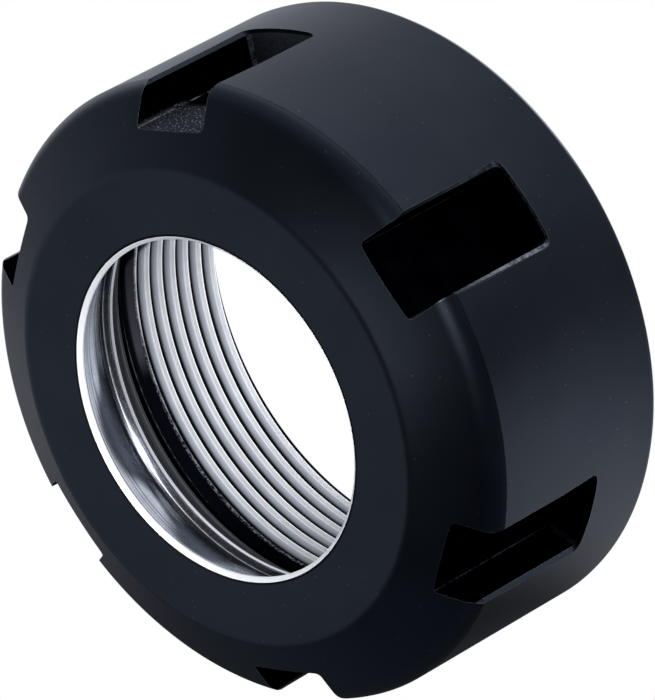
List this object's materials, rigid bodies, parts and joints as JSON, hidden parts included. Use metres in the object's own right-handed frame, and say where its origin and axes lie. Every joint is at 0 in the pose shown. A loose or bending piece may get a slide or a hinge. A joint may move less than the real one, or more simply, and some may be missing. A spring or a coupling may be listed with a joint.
{
  "type": "collet nut",
  "caption": "Turned steel clamping nut for spring collets: conical mouth with an off-centre extraction lip, internal thread behind it, and wrench slots round the outside.",
  "frame": {"origin": "centre of the flat back face, where the thread opens; the nut stands on this face", "axes": "+Z along the nut's axis from the threaded back face to the front face with the mouth; +X through the middle of the first wrench slot; +Y completes the right-handed frame"},
  "size_m": [0.05, 0.05, 0.0225],
  "materials": {
    "blackened_steel": "hardened steel with a satin black oxide outside; the mouth, the seat cone, the lip and the thread are machined bright"
  },
  "bodies": {
    "root": {"collet_nut": "blackened_steel"}
  },
  "joints": []
}
